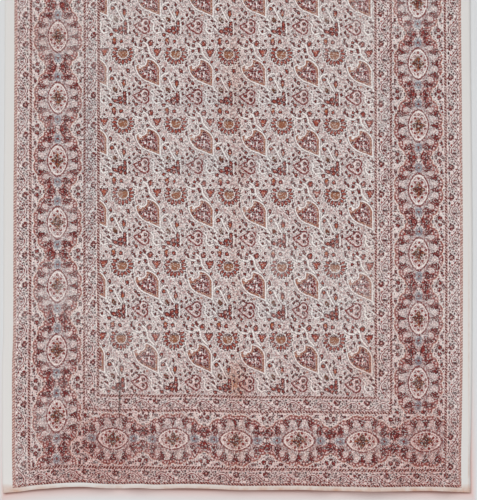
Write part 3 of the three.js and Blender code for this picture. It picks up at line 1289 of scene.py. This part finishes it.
# Grey-blue casts, one along a few of the field's rows and down its left guard.
COOLS = [
    StainAndShadePatch(-60, 1028, 330, 34, 0.26),
    StainAndShadePatch(-60, 862, 330, 34, 0.3),
    StainAndShadePatch(0, 480, 330, 34, 0.24),
    StainAndShadePatch(-390, 900, 26, 330, 0.4),
    StainAndShadePatch(400, 1000, 26, 200, 0.26),
]
# Painted shade in the sharpest crease: a dark line along its trough.
PAINTED_CREASE_SHADES = [StainAndShadePatch(-309, 252, 3.4, 84, 1.2)]


def blotch(dye, where, row):
    """1 in the middle of a patch, and less outwards. The patches are stains, tints and the painted crease
    shade.
    """
    centre = (row.across * MM, 0, (row.up - LENGTH) * MM)
    size = (1 / (row.wide * MM), 0, 1 / (row.tall * MM))
    off = dye.vector("MULTIPLY", dye.vector("SUBTRACT", where, centre), size)
    return dye.vector("LENGTH", off).below(0.6, 0.6) * row.amount


def washed(dye, colour, where, rows, tint, uneven=1.0):
    """The colour with a table's patches worked in by multiplying, as dye is for the stains and tints and
    as painted shade is for the crease.
    """
    total = reduce(add, (blotch(dye, where, row) for row in rows))
    return dye.lay(total * uneven, colour, tint, "MULTIPLY")


# The weave's bump: the pitch of its threads in metres, their share, and its two runs of slubs.
THREAD = 0.0009
THREAD_SHARE = 0.35
SLUBS = [(900, 0, 70), (70, 0, 900)]
WEAVE_DEPTH = 0.0004
WEAVE_STRENGTH = 0.35


def weave(dye, where):
    """The bump of a plain hand-loomed weave with uneven threads."""
    slubs = [dye.cloudy(dye.vector("MULTIPLY", where, stretch), 1.0, 1.0) for stretch in SLUBS]
    turns = dye.vector("MULTIPLY", where, (math.tau / THREAD, 0, math.tau / THREAD))
    across, _, up = dye.parts(dye.vector("SINE", turns))
    height = slubs[0] + slubs[1] + across * up * THREAD_SHARE
    values = {"Strength": WEAVE_STRENGTH, "Distance": WEAVE_DEPTH, "Height": height}
    return dye.node("ShaderNodeBump", values)


# How the ink took: the scale and the weight of its worn patches and its broad ones, and the least
# of it. Then the scale of the stains' clouds and of the flecks, and how strong the flecks are.
WORN_SCALE, WORN_WEIGHT = 34.0, 0.8
PATCH_SCALE, PATCH_WEIGHT = 7.0, 0.4
LEAST_INK = 0.48
STAIN_SCALE, STAIN_WEIGHT = 60.0, 1.6
FLECK_SCALE, FLECK_WEIGHT = 310.0, 0.42
ROUGHNESS = 0.92
SHEEN = 0.08


def inked(dye, colour, where, block, shows):
    """The design as the cotton took it, thinner in worn patches and on some of its blocks."""
    worn = dye.cloudy(where, WORN_SCALE, 4.0, Roughness=0.65)
    patchy = dye.cloudy(where, PATCH_SCALE, 2.0)
    ink = worn * WORN_WEIGHT + patchy * PATCH_WEIGHT + LEAST_INK
    ink = (ink + (block.chance - 0.5) * block.uneven).held() * shows
    return dye.lay(ink, COTTON, colour)


def flecked(dye, colour, where, shows):
    """The colour with fine rosy and bare flecks."""
    flecks = dye.cloudy(where, FLECK_SCALE, 1.0)
    colour = dye.lay(flecks.below(0.4, 0.05) * FLECK_WEIGHT * shows, colour, INK_ROSE)
    return dye.lay(flecks.over(0.6) * FLECK_WEIGHT * shows, colour, BARE)


def printed_material(name, lay_design):
    """A cotton material with its design printed, faded where the ink took less, aged, and with painted
    shade along a crease.
    """
    dye = Dye(name)
    where = dye.on_object()
    colour, block = lay_design(dye)
    if block:
        shows = dye.node("ShaderNodeAttribute", output="Fac", attribute_name="print_shows")
        colour = inked(dye, colour, where, block, shows)
        colour = washed(dye, colour, where, SHADES, SHADE)
        colour = washed(dye, colour, where, COOLS, COOL)
        # Painted shade along the sharpest crease.
        colour = washed(dye, colour, where, PAINTED_CREASE_SHADES, PAINTED_CREASE_SHADE, shows)
    clouds = dye.cloudy(where, STAIN_SCALE, 3.0) * STAIN_WEIGHT
    colour = washed(dye, colour, where, STAINS, STAIN, clouds)
    if block:
        colour = flecked(dye, colour, where, shows)
    surface = dye.node(
        "ShaderNodeBsdfPrincipled",
        {"Base Color": colour, "Roughness": ROUGHNESS, "Sheen Weight": SHEEN, "Normal": weave(dye, where)},
    )
    dye.node("ShaderNodeOutputMaterial", [surface])
    return dye.material


def hang_cloth():
    """The cloth itself, in place of the plain solid."""
    mesh = cloth_sheet()
    designs = {
        "plain": ("plain cotton", plain_print),
        "rope": ("rope stripe print", rope_print),
        "guard": ("guard print", guard_print),
        "medallions": ("medallion border print", border_print),
        "field": ("paisley field print", field_print),
    }
    for kind in PRINTS:
        mesh.materials.append(printed_material(*designs[kind]))
    cloth = bpy.data.objects.new("printed_cotton_panel", mesh)
    bpy.context.scene.collection.objects.link(cloth)
    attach(cloth, "root")
    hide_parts("printed_cloth")


# The stage, in metres: the wall just behind the cloth and the floor below its foot.
WALL_GAP = 0.0035
FLOOR_DROP = 0.3
STAGE_WIDE = 4.0
STAGE_DEEP = 4.0
STAGE_TALL = 1.2
PALE = light_of(214, 215, 216)
# The rosy light that the cloth throws on the wall, painted into the wall's colour: it fades faster
# beside the cloth than under it, and is only low down. Then a painted shadow, the dim line close under the
# foot.
PAINTED_GLOW = light_of(214, 180, 173)
PAINTED_GLOW_REACH = 0.036
PAINTED_GLOW_SIDE_FALL = 2.4
PAINTED_GLOW_TOP = -1.6
PAINTED_GLOW_TOP_EASE = 0.2
PAINTED_SHADOW = light_of(158, 112, 102)
PAINTED_SHADOW_DEPTH = 0.0055
PAINTED_SHADOW_SHARE = 0.85

ROOM_LIGHT = 0.46
# Soft far lights. Their turns in degrees start from straight down.
Lamp = namedtuple("Lamp", "name strength turn softness")
LAMPS = [
    Lamp("key", 1.95, (52, 0, -14), 0.75),
    Lamp("back fill", 1.2, (-60, 0, 10), 0.6),
]


def painted_reflection_and_shadow(dye):
    """The wall's colour, with the cloth's rosy light painted in just past its edges, and a painted shadow
    line close under its foot.
    """
    right, _, up = dye.parts(dye.on_object())
    places = np.linspace(-WIDTH / 2, WIDTH / 2, 60)
    edge = None
    for factor in np.polyfit(places * MM, (foot_rise(places) - LENGTH) * MM, 5):
        edge = float(factor) if edge is None else right * edge + float(factor)
    past = (edge - up).most((abs(right) - WIDTH / 2 * MM) * PAINTED_GLOW_SIDE_FALL)
    # Painted reflection: rosy light on the wall near the cloth's edges, low down.
    near = (1 - past * (1 / PAINTED_GLOW_REACH)).held()
    low = up.below(PAINTED_GLOW_TOP, PAINTED_GLOW_TOP_EASE)
    # Painted shadow: a dim line on the wall close under the cloth's foot.
    under = (edge - up).below(PAINTED_SHADOW_DEPTH, 0.003) * abs(right).below(WIDTH / 2 * MM, 0.004)
    return dye.lay(under * low * PAINTED_SHADOW_SHARE, dye.lay(near * low, PALE, PAINTED_GLOW), PAINTED_SHADOW)


def plain_surface(name, one_sided):
    """A matt pale paint. The wall's is seen from its front alone, so that the back can be looked at."""
    dye = Dye(name)
    paint = painted_reflection_and_shadow(dye) if one_sided else PALE
    paint = dye.node("ShaderNodeBsdfPrincipled", {"Base Color": paint, "Roughness": 0.95})
    if one_sided:
        behind = dye.node("ShaderNodeNewGeometry", output="Backfacing")
        paint = dye.node("ShaderNodeMixShader", [behind, paint, dye.node("ShaderNodeBsdfTransparent")])
    dye.node("ShaderNodeOutputMaterial", [paint])
    return dye.material


def stage_plane(name, corners, one_sided=False):
    mesh = bpy.data.meshes.new(name)
    mesh.from_pydata(corners, [], [(0, 1, 2, 3)])
    mesh.materials.append(plain_surface(name + " paint", one_sided))
    plane = bpy.data.objects.new(name, mesh)
    bpy.context.scene.collection.objects.link(plane)
    return plane


def studio():
    """A plain pale wall and floor, with soft light from above and in front."""
    floor = -LENGTH * MM - FLOOR_DROP
    wall_corners = [
        (-STAGE_WIDE, WALL_GAP, floor),
        (STAGE_WIDE, WALL_GAP, floor),
        (STAGE_WIDE, WALL_GAP, STAGE_TALL),
        (-STAGE_WIDE, WALL_GAP, STAGE_TALL),
    ]
    floor_corners = [
        (-STAGE_WIDE, -STAGE_DEEP, floor),
        (STAGE_WIDE, -STAGE_DEEP, floor),
        (STAGE_WIDE, STAGE_DEEP, floor),
        (-STAGE_WIDE, STAGE_DEEP, floor),
    ]
    wall = stage_plane("wall", wall_corners, one_sided=True)
    wall.visible_shadow = False
    wall.visible_diffuse = False
    stage_plane("floor", floor_corners)

    world = bpy.data.worlds.new("studio")
    world.use_nodes = True
    background = world.node_tree.nodes["Background"]
    background.inputs["Color"].default_value = (1, 1, 1, 1)
    background.inputs["Strength"].default_value = ROOM_LIGHT
    bpy.context.scene.world = world
    for row in LAMPS:
        lamp(row)


def lamp(row):
    data = bpy.data.lights.new(row.name, "SUN")
    data.energy = row.strength
    data.angle = row.softness
    light = bpy.data.objects.new(row.name, data)
    light.rotation_euler = [math.radians(angle) for angle in row.turn]
    bpy.context.scene.collection.objects.link(light)


# The photo's frame: how much of the cloth's plane it takes in, and the middle of it.
FRAME_TALL = 1.3075
FRAME_MIDDLE = (0.002, -1.1766)
LENS = 100
SENSOR = 36


def camera():
    """A long lens, square on, with the head of the cloth above the frame."""
    data = bpy.data.cameras.new("camera")
    data.lens = LENS
    data.sensor_width = SENSOR
    eye = bpy.data.objects.new("camera", data)
    eye.location = (FRAME_MIDDLE[0], -FRAME_TALL * LENS / SENSOR, FRAME_MIDDLE[1])
    eye.rotation_euler = (math.pi / 2, 0, 0)
    bpy.context.scene.collection.objects.link(eye)
    bpy.context.scene.camera = eye


bpy.context.scene.view_settings.view_transform = "Standard"
camera()
hang_cloth()
studio()
